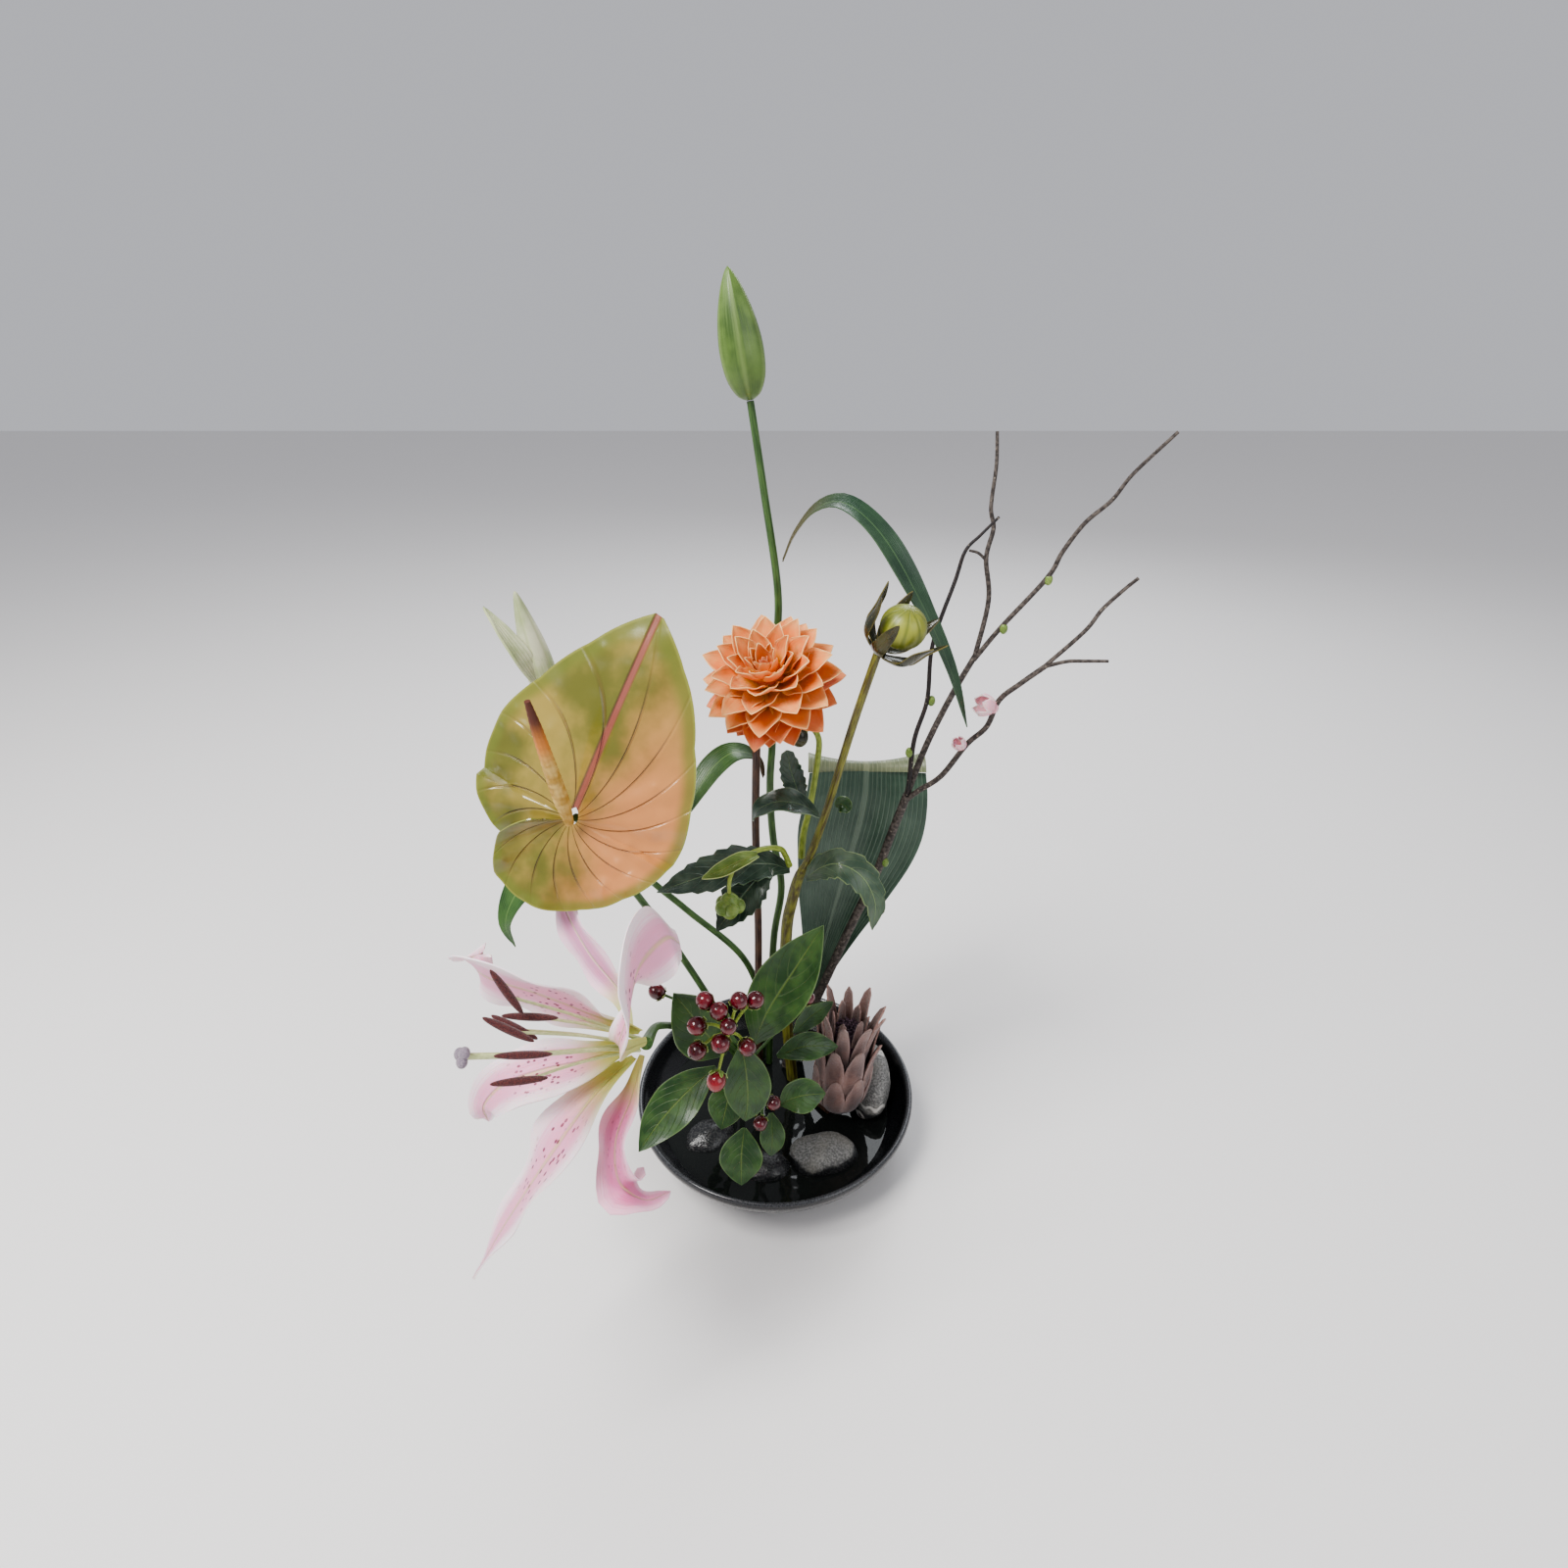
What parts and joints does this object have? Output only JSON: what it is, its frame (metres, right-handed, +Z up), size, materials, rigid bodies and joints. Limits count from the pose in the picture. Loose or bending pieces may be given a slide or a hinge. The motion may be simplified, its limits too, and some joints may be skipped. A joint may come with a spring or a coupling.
{
  "type": "ikebana arrangement",
  "caption": "Ikebana flower arrangement in a wide shallow black bowl: lily, anthurium, dahlia, protea, berries, a blossoming branch and broad leaves, with river stones in water",
  "frame": {"origin": "centre of the bowl's foot, on the surface it stands on", "axes": "+Z up, the way the stems rise; -Y toward the front of the arrangement, the side that it is meant to be seen from; +X to its right, where the branch reaches out"},
  "size_m": [0.4188, 0.3358, 0.6144],
  "materials": {
    "anther_maroon": "anther maroon, living plant tissue",
    "bark_brown": "grey-brown bark",
    "berry_burgundy": "berry burgundy, living plant tissue",
    "blossom_pink": "blossom pink, living plant tissue",
    "bowl_black": "black satin glaze",
    "dahlia_apricot": "dahlia apricot, living plant tissue",
    "dahlia_bud_green": "dahlia bud green, living plant tissue",
    "kenzan_lead": "dull lead and brass",
    "leaf_dark": "leaf dark, living plant tissue",
    "leaf_grey_green": "leaf grey green, living plant tissue",
    "leaf_hypericum": "leaf hypericum, living plant tissue",
    "leaf_pale": "leaf pale, living plant tissue",
    "lily_bud_green": "lily bud green, living plant tissue",
    "lily_pink": "lily pink, living plant tissue",
    "pistil_green": "pistil green, living plant tissue",
    "protea_mauve": "protea mauve, living plant tissue",
    "spadix_tan": "spadix tan, living plant tissue",
    "spathe_olive": "spathe olive, living plant tissue",
    "stem_brown": "stem brown, living plant tissue",
    "stem_green": "stem green, living plant tissue",
    "stem_olive": "stem olive, living plant tissue",
    "stone_grey": "river stone, wet where it meets the water"
  },
  "bodies": {
    "root": {"anthurium_spadix": "spadix_tan", "anthurium_spathe": "spathe_olive", "anthurium_stem": "stem_green", "aspidistra_leaf": "leaf_grey_green", "blossom_lower": "blossom_pink", "blossom_upper": "blossom_pink", "bowl": "bowl_black", "branch": "bark_brown", "dahlia_bloom": "dahlia_apricot", "dahlia_bud": "dahlia_bud_green", "dahlia_bud_sepals": "leaf_dark", "dahlia_bud_stem": "stem_olive", "dahlia_leaf_curled": "leaf_dark", "dahlia_leaf_left": "leaf_dark", "dahlia_leaf_right": "leaf_dark", "dahlia_leaf_small": "leaf_hypericum", "dahlia_leaf_upper": "leaf_dark", "dahlia_second_shoot": "stem_olive", "dahlia_shoot_leaf": "leaf_pale", "dahlia_side_shoot": "leaf_pale", "dahlia_stem": "stem_brown", "hypericum_leaf_1": "leaf_hypericum", "hypericum_leaf_10": "leaf_hypericum", "hypericum_leaf_2": "leaf_hypericum", "hypericum_leaf_3": "leaf_hypericum", "hypericum_leaf_4": "leaf_hypericum", "hypericum_leaf_5": "leaf_hypericum", "hypericum_leaf_6": "leaf_hypericum", "hypericum_leaf_7": "leaf_hypericum", "hypericum_leaf_8": "leaf_hypericum", "hypericum_leaf_9": "leaf_hypericum", "hypericum_sprig": "berry_burgundy", "kenzan": "kenzan_lead", "lily_flower_stem": "stem_green", "lily_leaf_left": "leaf_dark", "lily_leaf_right": "leaf_dark", "lily_opening_bud": "lily_bud_green", "lily_pistil": "pistil_green", "lily_side_leaf": "leaf_dark", "lily_side_stem": "stem_green", "lily_stamen_1": "anther_maroon", "lily_stamen_2": "anther_maroon", "lily_stamen_3": "anther_maroon", "lily_stamen_4": "anther_maroon", "lily_stamen_5": "anther_maroon", "lily_stamen_6": "anther_maroon", "lily_tall_bud": "lily_bud_green", "lily_tall_stem": "stem_green", "lily_tepal_1": "lily_pink", "lily_tepal_2": "lily_pink", "lily_tepal_3": "lily_pink", "lily_tepal_4": "lily_pink", "lily_tepal_5": "lily_pink", "lily_tepal_6": "lily_pink", "protea_head": "protea_mauve", "protea_stem": "stem_brown", "stone_dark": "stone_grey", "stone_front": "stone_grey", "stone_left": "stone_grey", "stone_right": "stone_grey"}
  },
  "joints": []
}
